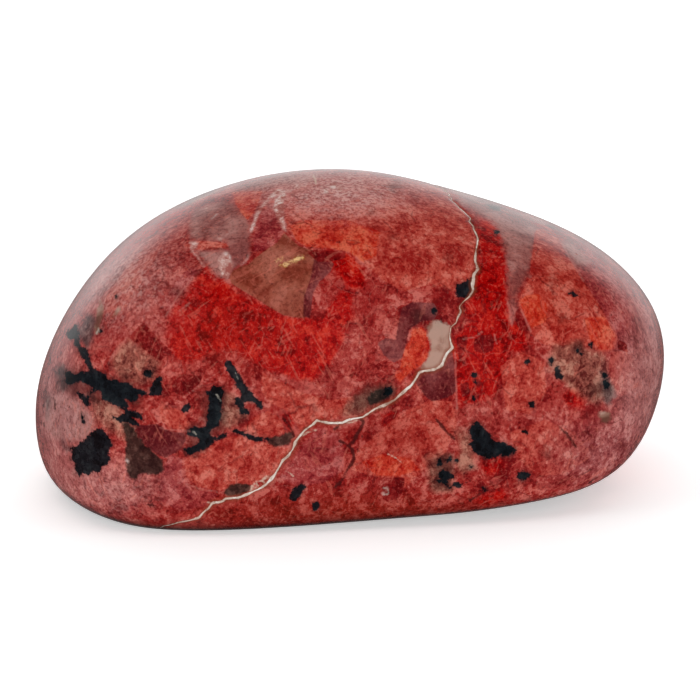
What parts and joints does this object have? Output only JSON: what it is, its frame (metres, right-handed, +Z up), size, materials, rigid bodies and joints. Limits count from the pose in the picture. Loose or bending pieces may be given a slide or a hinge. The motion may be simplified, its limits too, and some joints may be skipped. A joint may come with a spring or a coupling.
{
  "type": "polished stone freeform",
  "caption": "Palm-sized polished freeform of red and pink rhodonite rock with black veining, ground flat underneath so that it stands by itself.",
  "frame": {"origin": "middle of the stone's bounding box, on the plane of the flat base it rests on", "axes": "+Z up from the base; +X along the stone's longest side, towards the lower, blunter right end; -Y is the show face"},
  "size_m": [0.1054, 0.0665, 0.0527],
  "materials": {
    "rhodonite": "high polish, opaque, with black manganese veins and a pale healed crack"
  },
  "bodies": {
    "root": {"stone": "rhodonite"}
  },
  "joints": []
}
